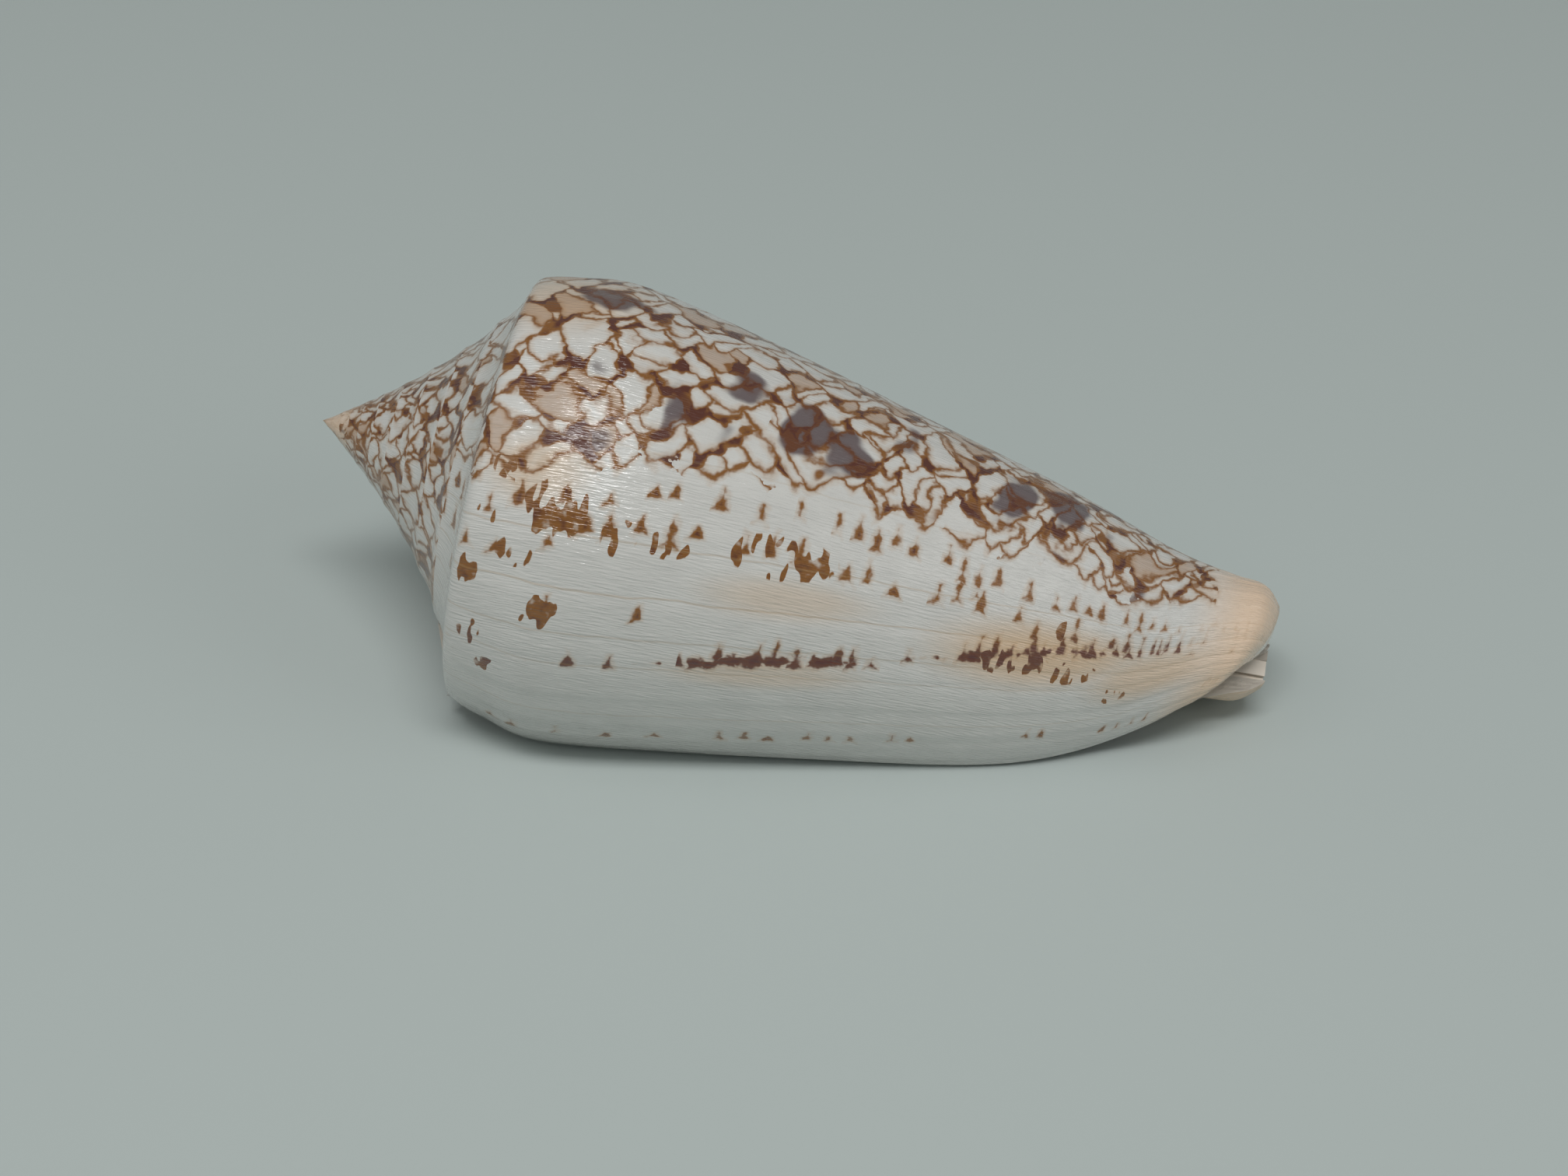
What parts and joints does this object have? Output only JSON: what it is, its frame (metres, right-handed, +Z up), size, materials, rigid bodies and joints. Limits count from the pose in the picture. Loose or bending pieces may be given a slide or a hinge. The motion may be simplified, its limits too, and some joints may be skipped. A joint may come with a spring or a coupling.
{
  "type": "cone shell",
  "caption": "Cone-shaped sea snail shell with a stepped pointed spire and a long narrow aperture, lying on its aperture side.",
  "frame": {"origin": "on the surface the shell rests on, under the middle of its bounding box", "axes": "+Z up, +X from the spire towards the narrow anterior end, -Y towards the side where the outer lip is turned under"},
  "size_m": [0.0752, 0.034, 0.0314],
  "materials": {
    "shell": "polished porcelain-like lime shell, off-white with a brown net of tent markings"
  },
  "bodies": {
    "root": {"shell": "shell"}
  },
  "joints": []
}
